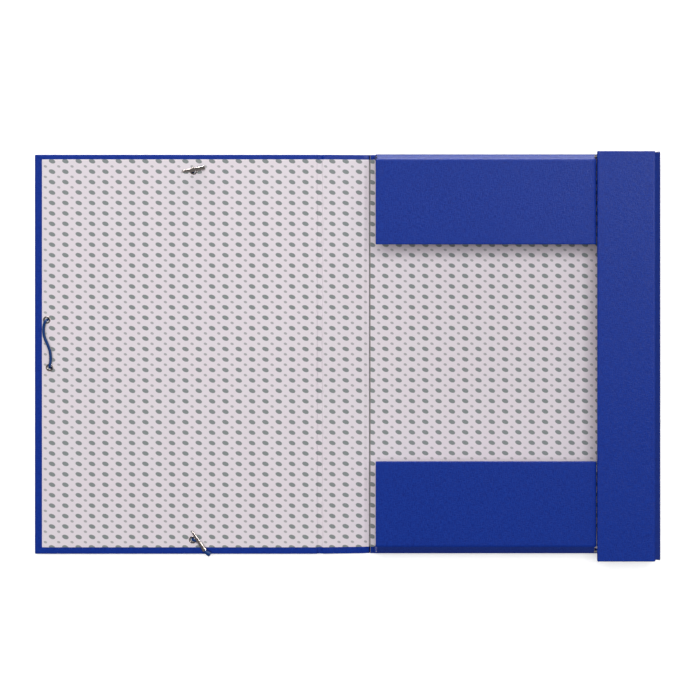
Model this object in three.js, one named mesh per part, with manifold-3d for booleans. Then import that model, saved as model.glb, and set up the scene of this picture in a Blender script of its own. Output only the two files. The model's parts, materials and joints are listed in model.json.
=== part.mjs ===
// A folio folder-box for library and archive papers, lying open on a table with its inside up.
// A cloth-covered case (cover, spine and back) carries a tray with three two-fold flaps on its
// back board. An elastic cord runs through four eyelets in the cover and ends in two metal tags.
//
// Millimetres, +Z up. The origin is the centre of the back board's outer face, which lies on the
// table. +X points to the fore edge of the back, +Y to its head.

import * as THREE from 'three';
import { mergeVertices } from 'three/addons/utils/BufferGeometryUtils.js';
import Module from 'manifold-3d';

const wasm = await Module();
wasm.setup();

// ---------------------------------------------------------------- driving dimensions

const CASE_HEIGHT = 344.4;
const BACK_WIDTH = 244.6;
const COVER_WIDTH = 242.75;
const SPINE_WIDTH = 34.5;
const HALF_JOINT = 3.05;

const BOARD = 2.1;
const CLOTH = 0.35;
const LINING = 0.3;
const GLUE = 0.05;
const FOLD_GAP = 0.45;
const LINED_FOLD_GAP = 0.85;

const HEAD_MARGIN = 4.1;
const TAIL_MARGIN = 5.7;
const FORE_MARGIN = 5.2;
const BACK_MARGIN = 3.6;
const FLAP_MARGIN = 8;

const WALL_BASE = 3.05;
const TOP_WALL_LINE = 171;
const BOTTOM_WALL_LINE = -168.4;
const FORE_WALL_LINE = 122.8;
const TRAY_START = -118.5;
const TRAY_END = 118.8;
const TOP_EDGE_WIDTH = 6.8;
const BOTTOM_EDGE_WIDTH = 10.6;
const FORE_EDGE_WIDTH = 8.6;
const EDGE_SETBACK = 1.2;
const EDGE_FOLD = Math.PI / 4;
const LEAF_LEVEL = 31;
const FORE_LEAF_LEVEL = 34.8;
const TOP_LEAF_DEPTH = 71.8;
const BOTTOM_LEAF_DEPTH = 71.8;
const FORE_LEAF_DEPTH = 48.4;
const FORE_FLAP_HEIGHT = 346.2;
const LEAF_END = 67.9;
const TONGUE_WIDTH = 14;

const CORD_DIAMETER = 2.2;
const COVER_LIFT = 2.75;

const EYELET_HOLE = 2.05;
const EYELET_BARREL = 2.35;
const EYELET_FLANGE = 3.35;
const FLANGE_THICKNESS = 0.35;
const PUNCHED_HOLE = 2.45;
const ROUND_SIDES = 20;

const TAG_BASE = 6.1;
const TAG_LENGTH = 20;
const TAG_HEIGHT = 3;
const TAG_METAL = 0.35;
const CRIMP_WIDTH = 3.6;
const CRIMP_START = 2.4;
const TONGUE_BAR_WIDTH = 2.5;
const TONGUE_BAR_DEPTH = 1.9;
const TONGUE_BAR_END = -2.6;

// ---------------------------------------------------------------- derived sizes

const BOARD_LEVEL = CLOTH + GLUE;
const LINING_LEVEL = BOARD_LEVEL + BOARD + GLUE;
const WRAPPED = LINING_LEVEL + CLOTH;
const HALF_HEIGHT = CASE_HEIGHT / 2;
const HALF_WIDTH = BACK_WIDTH / 2;
const SPINE_SPAN = SPINE_WIDTH + 2 * HALF_JOINT;
const SPINE_TILT = Math.asin(COVER_LIFT / SPINE_SPAN);
const BACK_HINGE = -HALF_WIDTH - HALF_JOINT;
const COVER_HINGE = BACK_HINGE - SPINE_SPAN * Math.cos(SPINE_TILT);
const FORE_EDGE = COVER_HINGE - HALF_JOINT - COVER_WIDTH;
const EYELET_LOW = COVER_LIFT - GLUE - FLANGE_THICKNESS;
const EYELET_HIGH = COVER_LIFT + WRAPPED + GLUE + FLANGE_THICKNESS;

// eyelet centres as [distance from the cover's fore edge, Y]
const EYELETS = {
  upper_end_eyelet: [136.9, 158.1],
  upper_fore_eyelet: [10.3, 29.6],
  lower_fore_eyelet: [12.8, -11.4],
  lower_end_eyelet: [136.3, -159.9],
};

// the elastic: through the upper end eyelet, under the cover, up and across its inside in a
// loose S, down again, under the cover and up into the lower end eyelet
const CORD_ROUTE = [
  [-274.85, 158.10, 4.6],
  [-274.85, 158.10, 3.4],
  [-275.30, 157.64, 1.8],
  [-276.40, 156.53, 1.15],
  [-279.32, 153.70, 1.15],
  [-290.29, 143.70, 1.15],
  [-312.24, 121.90, 1.15],
  [-336.19, 96.90, 1.15],
  [-362.12, 69.70, 1.15],
  [-385.07, 45.50, 1.15],
  [-396.94, 34.00, 1.15],
  [-399.90, 31.16, 1.15],
  [-401.00, 30.06, 1.8],
  [-401.45, 29.60, 3.4],
  [-401.45, 29.60, 5.0],
  [-401.80, 29.06, 6.56],
  [-402.65, 27.78, 7.2],
  [-403.51, 25.14, 7.1],
  [-403.88, 20.57, 6.95],
  [-403.36, 15.8, 6.9],
  [-401.84, 11.63, 6.9],
  [-399.72, 6.87, 6.9],
  [-398.09, 1.11, 6.9],
  [-397.76, -4.85, 7.0],
  [-398.44, -9.28, 7.2],
  [-398.80, -10.77, 6.56],
  [-398.95, -11.40, 5.0],
  [-398.95, -11.40, 3.4],
  [-398.54, -11.89, 1.8],
  [-397.55, -13.09, 1.15],
  [-394.95, -16.30, 1.15],
  [-377.92, -37.40, 1.15],
  [-352.02, -69.00, 1.15],
  [-326.13, -100.20, 1.15],
  [-300.23, -131.00, 1.15],
  [-284.29, -149.40, 1.15],
  [-279.61, -154.90, 1.15],
  [-276.85, -158.21, 1.15],
  [-275.86, -159.41, 1.8],
  [-275.45, -159.90, 3.4],
  [-275.45, -159.90, 4.6],
];

// the elastic's two ends, which turn with their tags: out of the eyelet and into the crimp
const UPPER_END_ROUTE = [
  [-274.85, 158.10, 4.9],
  [-274.85, 158.10, 5.5],
  [-274.63, 158.60, 6.95],
  [-273.13, 159.75, 7.6],
  [-270.83, 160.56, 7.6],
  [-265.33, 161.68, 7.6],
];
const LOWER_END_ROUTE = [
  [-275.45, -159.90, 4.9],
  [-275.45, -159.90, 5.4],
  [-274.83, -159.95, 6.94],
  [-273.23, -160.15, 7.6],
  [-270.93, -161.10, 7.6],
  [-268.93, -163.00, 7.6],
  [-267.13, -165.60, 7.6],
  [-265.23, -168.15, 7.6],
  [-263.3, -170.5, 8],
  [-260.1, -172.3, 8.3],
];
const UPPER_TAG = { x: -274.95, y: 159.72, angle: 0.2007 };
const LOWER_TAG = { x: -270.53, y: -160.4, angle: -0.9879 };

// ---------------------------------------------------------------- materials

const FINISHES = {
  cloth: { color: 0x1d3a8c, roughness: 0.62, metalness: 0 },
  board: { color: 0x8f8a80, roughness: 0.9, metalness: 0 },
  lining: { color: 0xe4dce1, roughness: 0.75, metalness: 0 },
  nickel: { color: 0xb3aca4, roughness: 0.3, metalness: 1 },
  elastic: { color: 0x123a8f, roughness: 0.8, metalness: 0 },
};

function addPiece(body, name, geometry, finish) {
  const mesh = new THREE.Mesh(geometry, new THREE.MeshStandardMaterial(FINISHES[finish]));
  mesh.name = name;
  body.add(mesh);
  return mesh;
}

// ---------------------------------------------------------------- solids

function toSolid(geometry) {
  const bare = geometry.clone();
  bare.deleteAttribute('normal');
  bare.deleteAttribute('uv');
  const merged = mergeVertices(bare);
  const vertProperties = Float32Array.from(merged.getAttribute('position').array);
  const triVerts = Uint32Array.from(merged.index.array);
  return new wasm.Manifold(new wasm.Mesh({ numProp: 3, vertProperties, triVerts }));
}

function toGeometry(solid) {
  const mesh = solid.getMesh();
  const geometry = new THREE.BufferGeometry();
  geometry.setAttribute('position', new THREE.BufferAttribute(mesh.vertProperties, 3));
  geometry.setIndex(new THREE.BufferAttribute(mesh.triVerts, 1));
  geometry.computeVertexNormals();
  return geometry;
}

// A box between two values along a panel's three directions: u away from its hinge, v along the
// hinge and w through its thickness, from the outer face inwards.
function block([u0, u1], [v0, v1], [w0, w1]) {
  const geometry = new THREE.BoxGeometry(u1 - u0, v1 - v0, w1 - w0);
  return geometry.translate((u0 + u1) / 2, (v0 + v1) / 2, (w0 + w1) / 2);
}

function punched(geometry, holes) {
  let solid = toSolid(geometry);
  for (const [u, v] of holes) {
    const drill = new THREE.CylinderGeometry(PUNCHED_HOLE, PUNCHED_HOLE, 4 * WRAPPED, ROUND_SIDES);
    drill.rotateX(Math.PI / 2).translate(u, v, 0);
    solid = solid.subtract(toSolid(drill));
  }
  return toGeometry(solid);
}

// A panel's fold is at u = 0 and its board runs from u = start to u = end. A free panel ends in
// an edge that its cloth wraps; any other panel ends at its next fold. Where there is a joint
// with no board in it, cloth and lining run on from the board almost to the fold.
function panelSpans(panel) {
  const { start, end, low, high, free, margins } = panel;
  return {
    whole: [start, end],
    board: [start, free ? end - CLOTH - GLUE : end],
    lining: [start, free ? end - margins.end - GLUE : end],
    openBoard: [start - 1, free ? end - CLOTH : end + 1],
    openLining: [start - 1, free ? end - margins.end : end + 1],
    wholeAcross: [low, high],
    boardAcross: [low + CLOTH + GLUE, high - CLOTH - GLUE],
    liningAcross: [low + margins.low + GLUE, high - margins.high - GLUE],
    openBoardAcross: [low + CLOTH, high - CLOTH],
    openLiningAcross: [low + margins.low, high - margins.high],
  };
}

// Each joint of a panel: the board's edge, the fold and which way along u the fold lies.
function jointsOf(panel) {
  const joints = [];
  if (panel.jointBefore) joints.push({ edge: panel.start, outwards: -1, fold: 0 });
  if (panel.jointAfter) joints.push({ edge: panel.end, outwards: 1, fold: panel.end + panel.start });
  return joints;
}

function ordered(a, b) {
  return a < b ? [a, b] : [b, a];
}

// The covering cloth of one panel: its outer sheet and the edges turned in over the board.
function wrapGeometry(panel, holes = []) {
  const spans = panelSpans(panel);
  const sleeve = toSolid(block(spans.whole, spans.wholeAcross, [0, WRAPPED]));
  const boardSpace = block(spans.openBoard, spans.openBoardAcross, [CLOTH, LINING_LEVEL]);
  const window = block(spans.openLining, spans.openLiningAcross, [BOARD_LEVEL, WRAPPED + 1]);
  let wrap = sleeve.subtract(toSolid(boardSpace)).subtract(toSolid(window));
  for (const { edge, outwards, fold } of jointsOf(panel)) {
    const far = fold - outwards * FOLD_GAP;
    const strip = block(ordered(edge - outwards, far), spans.wholeAcross, [0, CLOTH]);
    wrap = wrap.add(toSolid(strip));
  }
  return punched(toGeometry(wrap), holes);
}

function boardGeometry(panel, holes = []) {
  const spans = panelSpans(panel);
  const level = [BOARD_LEVEL, BOARD_LEVEL + BOARD];
  return punched(block(spans.board, spans.boardAcross, level), holes);
}

// The lining goes down the board's edge and along the cloth of a joint.
function liningGeometry(panel, holes = []) {
  const spans = panelSpans(panel);
  const level = [LINING_LEVEL, LINING_LEVEL + LINING];
  let sheet = toSolid(block(spans.lining, spans.liningAcross, level));
  for (const { edge, outwards, fold } of jointsOf(panel)) {
    const near = edge + outwards * GLUE;
    const face = near + outwards * LINING;
    const far = fold - outwards * LINED_FOLD_GAP;
    const over = block(ordered(edge - outwards, face), spans.liningAcross, level);
    const riser = block(ordered(near, face), spans.liningAcross, [BOARD_LEVEL, level[1]]);
    const foot = block(ordered(near, far), spans.liningAcross, [BOARD_LEVEL, BOARD_LEVEL + LINING]);
    sheet = sheet.add(toSolid(over)).add(toSolid(riser)).add(toSolid(foot));
  }
  return punched(toGeometry(sheet), holes);
}

function addPanel(body, name, panel, holes = []) {
  addPiece(body, `${name}_cloth`, wrapGeometry(panel, holes), 'cloth');
  addPiece(body, `${name}_board`, boardGeometry(panel, holes), 'board');
  addPiece(body, `${name}_lining`, liningGeometry(panel, holes), 'lining');
}

// A narrow strip between two folds, with no board in it.
function addFoldStrip(body, name, width, [low, high], margin) {
  const along = [FOLD_GAP, width - FOLD_GAP];
  const lined = [CLOTH + GLUE, CLOTH + GLUE + LINING];
  addPiece(body, `${name}_cloth`, block(along, [low, high], [0, CLOTH]), 'cloth');
  addPiece(body, `${name}_lining`, block(along, [low + margin, high - margin], lined), 'lining');
}

// ---------------------------------------------------------------- bodies

// A panel frame at a point, with u and w along the given directions.
function frameAt(position, u, w) {
  const body = new THREE.Group();
  const v = new THREE.Vector3().crossVectors(w, u);
  body.quaternion.setFromRotationMatrix(new THREE.Matrix4().makeBasis(u, v, w));
  body.position.copy(position);
  return body;
}

// The next panel of a chain: hinged at u = at and folded inwards by an angle.
function foldedFrom(parent, at, angle) {
  const body = new THREE.Group();
  body.position.x = at;
  body.rotation.y = -angle;
  parent.add(body);
  return body;
}

const group = new THREE.Group();
const UP = new THREE.Vector3(0, 0, 1);
const EAST = new THREE.Vector3(1, 0, 0);
const NORTH = new THREE.Vector3(0, 1, 0);
const WEST = EAST.clone().negate();
const SOUTH = NORTH.clone().negate();

// ---------------------------------------------------------------- back and tray floor

// v runs towards the head on this side of the case
function addBack() {
  const back = frameAt(new THREE.Vector3(BACK_HINGE, 0, 0), EAST, UP);
  const panel = {
    start: HALF_JOINT,
    end: HALF_JOINT + BACK_WIDTH,
    low: -HALF_HEIGHT,
    high: HALF_HEIGHT,
    free: true,
    jointBefore: true,
    margins: { low: BACK_MARGIN, high: BACK_MARGIN, end: BACK_MARGIN },
  };
  addPiece(back, 'back_cloth', wrapGeometry(panel), 'cloth');
  addPiece(back, 'back_board', boardGeometry(panel), 'board');

  // each flap's sheet ends in a tongue that is glued to the floor beside the floor's lining
  const level = [LINING_LEVEL, LINING_LEVEL + LINING];
  const { lining, liningAcross } = panelSpans(panel);
  const floorEnd = lining[1] - TONGUE_WIDTH;
  const floorHead = liningAcross[1] - TONGUE_WIDTH;
  const floorPanel = {
    ...panel,
    end: floorEnd - GLUE,
    low: -floorHead,
    high: floorHead,
    free: false,
    margins: { low: 0, high: 0, end: 0 },
  };
  const foreTongue = block([floorEnd, lining[1]], liningAcross, level);
  const topTongue = block([lining[0], floorEnd - GLUE], [floorHead, liningAcross[1]], level);
  const bottomTongue = block([lining[0], floorEnd - GLUE], [liningAcross[0], -floorHead], level);
  addPiece(back, 'back_lining', liningGeometry(floorPanel), 'lining');
  addPiece(back, 'fore_flap_tongue', foreTongue, 'lining');
  addPiece(back, 'top_flap_tongue', topTongue, 'lining');
  addPiece(back, 'bottom_flap_tongue', bottomTongue, 'lining');
  group.add(back);
}

// ---------------------------------------------------------------- spine and cover

// v runs towards the tail on this side of the case, so the head's margin is the low one
function addSpineAndCover() {
  const margins = { low: HEAD_MARGIN, high: TAIL_MARGIN, end: FORE_MARGIN };
  const across = { low: -HALF_HEIGHT, high: HALF_HEIGHT, margins };
  const hinge = frameAt(new THREE.Vector3(BACK_HINGE, 0, 0), WEST, UP);
  group.add(hinge);

  const spine = foldedFrom(hinge, 0, SPINE_TILT);
  const spineEnd = HALF_JOINT + SPINE_WIDTH;
  const spineJoints = { jointBefore: true, jointAfter: true };
  addPanel(spine, 'spine', { start: HALF_JOINT, end: spineEnd, ...across, ...spineJoints });

  const cover = foldedFrom(spine, SPINE_SPAN, -SPINE_TILT);
  const coverEnd = HALF_JOINT + COVER_WIDTH;
  const coverPanel = { start: HALF_JOINT, end: coverEnd, ...across, free: true, jointBefore: true };
  const holes = Object.values(EYELETS).map(([inset, y]) => [coverEnd - inset, -y]);
  addPanel(cover, 'cover', coverPanel, holes);
}

// ---------------------------------------------------------------- flaps

// A flap is a wall, a narrow folded edge and a leaf that lies over the tray.
function addFlap(name, origin, inwards, flap) {
  const { level, depth, edgeWidth, wallAcross, leafAcross } = flap;
  const margins = { low: FLAP_MARGIN, high: FLAP_MARGIN, end: FLAP_MARGIN };
  const height = level - edgeWidth * Math.sin(EDGE_FOLD) - WALL_BASE;
  const wall = frameAt(origin, UP, inwards);
  group.add(wall);
  const [wallLow, wallHigh] = wallAcross;
  const wallSpan = { start: FOLD_GAP, end: height - FOLD_GAP, low: wallLow, high: wallHigh };
  addPanel(wall, `${name}_wall`, { ...wallSpan, margins });

  const edge = foldedFrom(wall, height, EDGE_FOLD);
  const [low, high] = leafAcross;
  const edgeAcross = [low + EDGE_SETBACK, high - EDGE_SETBACK];
  addFoldStrip(edge, `${name}_edge`, edgeWidth, edgeAcross, FLAP_MARGIN - EDGE_SETBACK);

  const leaf = foldedFrom(edge, edgeWidth, EDGE_FOLD);
  addPanel(leaf, `${name}_leaf`, { start: FOLD_GAP, end: depth, low, high, free: true, margins });
}

// The head and tail leaves stop short of the fore leaf, so that each flap opens on its own.
function addFlaps() {
  addFlap('top', new THREE.Vector3(0, TOP_WALL_LINE, WALL_BASE), SOUTH, {
    level: LEAF_LEVEL,
    depth: TOP_LEAF_DEPTH,
    edgeWidth: TOP_EDGE_WIDTH,
    wallAcross: [-TRAY_END, -TRAY_START],
    leafAcross: [-LEAF_END, -TRAY_START],
  });
  addFlap('bottom', new THREE.Vector3(0, BOTTOM_WALL_LINE, WALL_BASE), NORTH, {
    level: LEAF_LEVEL,
    depth: BOTTOM_LEAF_DEPTH,
    edgeWidth: BOTTOM_EDGE_WIDTH,
    wallAcross: [TRAY_START, TRAY_END],
    leafAcross: [TRAY_START, LEAF_END],
  });
  addFlap('fore', new THREE.Vector3(FORE_WALL_LINE, 0, WALL_BASE), WEST, {
    level: FORE_LEAF_LEVEL,
    depth: FORE_LEAF_DEPTH,
    edgeWidth: FORE_EDGE_WIDTH,
    wallAcross: [-FORE_FLAP_HEIGHT / 2, FORE_FLAP_HEIGHT / 2],
    leafAcross: [-FORE_FLAP_HEIGHT / 2, FORE_FLAP_HEIGHT / 2],
  });
}

// ---------------------------------------------------------------- eyelets

function addEyelets() {
  const profile = [
    [EYELET_HOLE, EYELET_LOW],
    [EYELET_FLANGE, EYELET_LOW],
    [EYELET_FLANGE, EYELET_LOW + FLANGE_THICKNESS],
    [EYELET_BARREL, EYELET_LOW + FLANGE_THICKNESS],
    [EYELET_BARREL, EYELET_HIGH - FLANGE_THICKNESS],
    [EYELET_FLANGE, EYELET_HIGH - FLANGE_THICKNESS],
    [EYELET_FLANGE, EYELET_HIGH],
    [EYELET_HOLE, EYELET_HIGH],
    [EYELET_HOLE, EYELET_LOW],
  ].map(([radius, level]) => new THREE.Vector2(radius, level));
  for (const [name, [inset, y]] of Object.entries(EYELETS)) {
    const ring = new THREE.LatheGeometry(profile, ROUND_SIDES).rotateX(Math.PI / 2);
    const eyelet = addPiece(group, name, ring, 'nickel');
    eyelet.position.set(FORE_EDGE + inset, y, 0);
  }
}

// ---------------------------------------------------------------- elastic cord

// A smooth curve whose steps are spread evenly over its points, so that the tight bends in the
// eyelets get as many as the straight runs between them.
class CordCurve extends THREE.CatmullRomCurve3 {
  getPointAt(t, target) {
    return this.getPoint(t, target);
  }
  getTangentAt(t, target) {
    return this.getTangent(t, target);
  }
}

function cordGeometry(route) {
  const sides = 8;
  const section = new THREE.Shape();
  for (let i = 0; i < sides; i += 1) {
    const angle = (2 * Math.PI * (i + 0.5)) / sides;
    const x = (CORD_DIAMETER / 2) * Math.cos(angle);
    const y = (CORD_DIAMETER / 2) * Math.sin(angle);
    if (i === 0) section.moveTo(x, y);
    else section.lineTo(x, y);
  }
  section.closePath();
  const extrudePath = new CordCurve(route.map((point) => new THREE.Vector3(...point)));
  return new THREE.ExtrudeGeometry(section, { steps: 2 * (route.length - 1), extrudePath });
}

// ---------------------------------------------------------------- tags

// A strip of sheet metal folded down at both sides. One half is crimped round the elastic's end,
// the other is a narrow bar, and only the top of the fold joins them over the eyelet.
function tagGeometry() {
  const half = TAG_LENGTH / 2;
  const top = TAG_BASE + TAG_HEIGHT;
  const underTop = top - TAG_METAL;
  const crimp = crimpGeometry(half - CRIMP_START);
  crimp.translate(CRIMP_START, 0, TAG_BASE);
  const barSide = TONGUE_BAR_WIDTH / 2;
  const bar = toSolid(block([-half, TONGUE_BAR_END], [-barSide, barSide], [top - TONGUE_BAR_DEPTH, top]));
  const channel = block(
    [-half - 1, TONGUE_BAR_END + 1],
    [TAG_METAL - barSide, barSide - TAG_METAL],
    [TAG_BASE, underTop],
  );
  const bridge = block([TONGUE_BAR_END - 1, CRIMP_START + 1], [-barSide, barSide], [underTop, top]);
  const folded = toSolid(crimp).add(bar.subtract(toSolid(channel)));
  return toGeometry(folded.add(toSolid(bridge)));
}

// The crimp's section is a flattened C that opens downwards.
function crimpGeometry(length) {
  const slit = 0.3;
  const outer = { x: CRIMP_WIDTH / 2, top: TAG_HEIGHT, bottom: 0, corner: 0.9 };
  const inner = {
    x: CRIMP_WIDTH / 2 - TAG_METAL,
    top: TAG_HEIGHT - TAG_METAL,
    bottom: TAG_METAL,
    corner: 0.6,
  };
  const section = new THREE.Shape();
  section.moveTo(slit, outer.bottom);
  section.lineTo(outer.x - outer.corner, outer.bottom);
  section.lineTo(outer.x, outer.corner);
  section.lineTo(outer.x, outer.top - outer.corner);
  section.lineTo(outer.x - outer.corner, outer.top);
  section.lineTo(outer.corner - outer.x, outer.top);
  section.lineTo(-outer.x, outer.top - outer.corner);
  section.lineTo(-outer.x, outer.corner);
  section.lineTo(outer.corner - outer.x, outer.bottom);
  section.lineTo(-slit, outer.bottom);
  section.lineTo(-slit, inner.bottom);
  section.lineTo(inner.corner - inner.x, inner.bottom);
  section.lineTo(-inner.x, inner.bottom + inner.corner);
  section.lineTo(-inner.x, inner.top - inner.corner);
  section.lineTo(inner.corner - inner.x, inner.top);
  section.lineTo(inner.x - inner.corner, inner.top);
  section.lineTo(inner.x, inner.top - inner.corner);
  section.lineTo(inner.x, inner.bottom + inner.corner);
  section.lineTo(inner.x - inner.corner, inner.bottom);
  section.lineTo(slit, inner.bottom);
  section.closePath();
  const crimp = new THREE.ExtrudeGeometry(section, { depth: length, bevelEnabled: false });
  return crimp.rotateX(Math.PI / 2).rotateZ(Math.PI / 2);
}

function addTag(name, { x, y, angle }) {
  const tag = addPiece(group, name, tagGeometry(), 'nickel');
  tag.position.set(x, y, 0);
  tag.rotation.z = angle;
}

// ---------------------------------------------------------------- assembly

addBack();
addSpineAndCover();
addFlaps();
addEyelets();
addPiece(group, 'elastic_cord', cordGeometry(CORD_ROUTE), 'elastic');
addPiece(group, 'upper_cord_end', cordGeometry(UPPER_END_ROUTE), 'elastic');
addPiece(group, 'lower_cord_end', cordGeometry(LOWER_END_ROUTE), 'elastic');
addTag('upper_tag', UPPER_TAG);
addTag('lower_tag', LOWER_TAG);

export default group;
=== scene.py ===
import json
import math

import bmesh
import bpy
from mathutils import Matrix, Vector


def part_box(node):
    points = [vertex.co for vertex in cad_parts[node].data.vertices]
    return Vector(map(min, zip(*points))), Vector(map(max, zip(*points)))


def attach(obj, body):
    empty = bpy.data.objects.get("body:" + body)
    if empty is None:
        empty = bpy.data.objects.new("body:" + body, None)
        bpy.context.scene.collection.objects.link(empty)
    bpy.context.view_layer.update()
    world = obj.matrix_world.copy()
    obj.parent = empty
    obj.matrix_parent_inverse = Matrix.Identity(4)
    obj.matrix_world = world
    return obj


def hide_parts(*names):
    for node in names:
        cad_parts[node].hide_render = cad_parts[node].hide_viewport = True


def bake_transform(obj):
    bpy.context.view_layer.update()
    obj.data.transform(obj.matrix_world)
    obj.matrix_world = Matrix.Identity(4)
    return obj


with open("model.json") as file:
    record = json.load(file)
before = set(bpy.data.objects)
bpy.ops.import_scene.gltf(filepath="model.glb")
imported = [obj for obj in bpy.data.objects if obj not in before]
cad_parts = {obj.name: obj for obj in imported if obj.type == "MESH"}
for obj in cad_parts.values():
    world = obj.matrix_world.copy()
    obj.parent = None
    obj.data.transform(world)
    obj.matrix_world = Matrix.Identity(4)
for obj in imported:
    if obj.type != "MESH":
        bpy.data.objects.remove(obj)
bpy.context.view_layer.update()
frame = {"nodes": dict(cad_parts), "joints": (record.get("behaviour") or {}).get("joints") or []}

# Sizes are in millimetres, and MM turns them into Blender's metres.
MM = 0.001
UP = Vector((0, 0, 1))
EAST = Vector((1, 0, 0))
NORTH = Vector((0, 1, 0))

WRAPPED = 2.9            # height of a board with its cloth turned in over it
UNBOARDED = 0.8          # height of the same cloth where there is no board
CLOTH = 0.35
LINING = 0.3
LINING_RISE = 0.1        # the lining lies a little above the turned-in cloth
UNDER_LINING = 3.0       # how far the turned-in cloth runs on under the lining
EDGE_RADIUS = 0.6
HEAD_MARGIN = 4.1
TAIL_MARGIN = 5.7
FORE_MARGIN = 6.2
BACK_MARGIN = 3.6
FLAP_MARGIN = 8.0
EDGE_SETBACK = 1.2
UNDER_FORE_LEAF = 0.3    # how far the head and tail leaves pass their CAD solids, to the fore leaf
TONGUE_WIDTH = 14.0
FORE_TONGUE_LIMITS = (-164.9, 167.4)
NO_LIMIT = 1000.0
HALF_JOINT = 3.05
JOINT_SINK = 1.3         # how far the sheets sink in a joint strip, which holds no board
SPINE_SIDE_SINK = 0.7    # and how far on the spine's side of the joint at the back
BASE_RADIUS = 0.9        # the flaps' folds, at the tray floor and along the raised edge
FLOOR_RADIUS = 0.8
RIDGE_RADIUS = 1.3
FLAP_REACH = 1.6         # a flap's sheets bend within this distance of a fold
END_INSET = 0.9          # the edge lining's distance from an end beside the fore leaf
MITRE_REACH = 40.0       # rows this near a corner fan in towards its mitre
SPOT_PITCH = (11.5, 9.0)  # the lining's print repeats after this much along and across
SPOT_TILT = -20.0        # degrees
LARGE_SPOT = (2.9, 1.8)  # half of a spot's length and width
SMALL_SPOT = (1.5, 1.0)

CORD_DIAMETER = 2.2
HOLE_RADIUS = 2.3
ROLL_HEIGHT = 0.42       # of an eyelet's rolled rim
TAG_LENGTH = 20
TAG_STEPS = 110
CAMERA_PLACE = (-158.6, 74.7, 1280.0)

CORD_ROUTE = [
    (-274.85, 158.10, 4.75), (-274.85, 158.10, 3.4), (-275.30, 157.64, 1.8), (-276.40, 156.53, 1.15),
    (-279.32, 153.70, 1.15), (-290.29, 143.70, 1.15), (-312.24, 121.90, 1.15), (-336.19, 96.90, 1.15),
    (-362.12, 69.70, 1.15), (-385.07, 45.50, 1.15), (-396.94, 34.00, 1.15), (-399.90, 31.16, 1.15),
    (-401.00, 30.06, 1.8), (-401.45, 29.60, 3.4), (-401.45, 29.60, 5.0), (-401.80, 29.06, 6.56),
    (-402.65, 27.78, 7.2), (-403.51, 25.14, 7.1), (-403.88, 20.57, 6.95), (-403.36, 15.80, 6.9),
    (-401.84, 11.63, 6.9), (-399.72, 6.87, 6.9), (-398.09, 1.11, 6.9), (-397.76, -4.85, 7.0),
    (-398.44, -9.28, 7.2), (-398.80, -10.77, 6.56), (-398.95, -11.40, 5.0), (-398.95, -11.40, 3.4),
    (-398.54, -11.89, 1.8), (-397.55, -13.09, 1.15), (-394.95, -16.30, 1.15), (-377.92, -37.40, 1.15),
    (-352.02, -69.00, 1.15), (-326.13, -100.20, 1.15), (-300.23, -131.00, 1.15), (-284.29, -149.40, 1.15),
    (-279.61, -154.90, 1.15), (-276.85, -158.21, 1.15), (-275.86, -159.41, 1.8), (-275.45, -159.90, 3.4),
    (-275.45, -159.90, 4.75),
]
UPPER_END_ROUTE = [
    (-274.85, 158.10, 4.75), (-274.85, 158.10, 5.5), (-274.63, 158.60, 6.95), (-273.13, 159.75, 7.6),
    (-270.83, 160.56, 7.6), (-265.33, 161.68, 7.6),
]
LOWER_END_ROUTE = [
    (-275.45, -159.90, 4.75), (-275.45, -159.90, 5.4), (-274.83, -159.95, 6.94), (-273.23, -160.15, 7.6),
    (-270.93, -161.10, 7.6), (-268.93, -163.00, 7.6), (-267.13, -165.60, 7.6), (-265.23, -168.15, 7.6),
    (-263.30, -170.50, 8.0), (-260.10, -172.30, 8.3),
]


# ---------------------------------------------------------------- camera

def make_camera():
    data = bpy.data.cameras.new("camera")
    data.sensor_width = 36.0
    data.lens = 76.0
    data.shift_x = 0.0311
    data.shift_y = -0.1176
    data.clip_end = 20.0
    camera = bpy.data.objects.new("camera", data)
    camera.location = Vector(CAMERA_PLACE) * MM
    bpy.context.scene.collection.objects.link(camera)
    bpy.context.scene.camera = camera


# ---------------------------------------------------------------- material nodes

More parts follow.
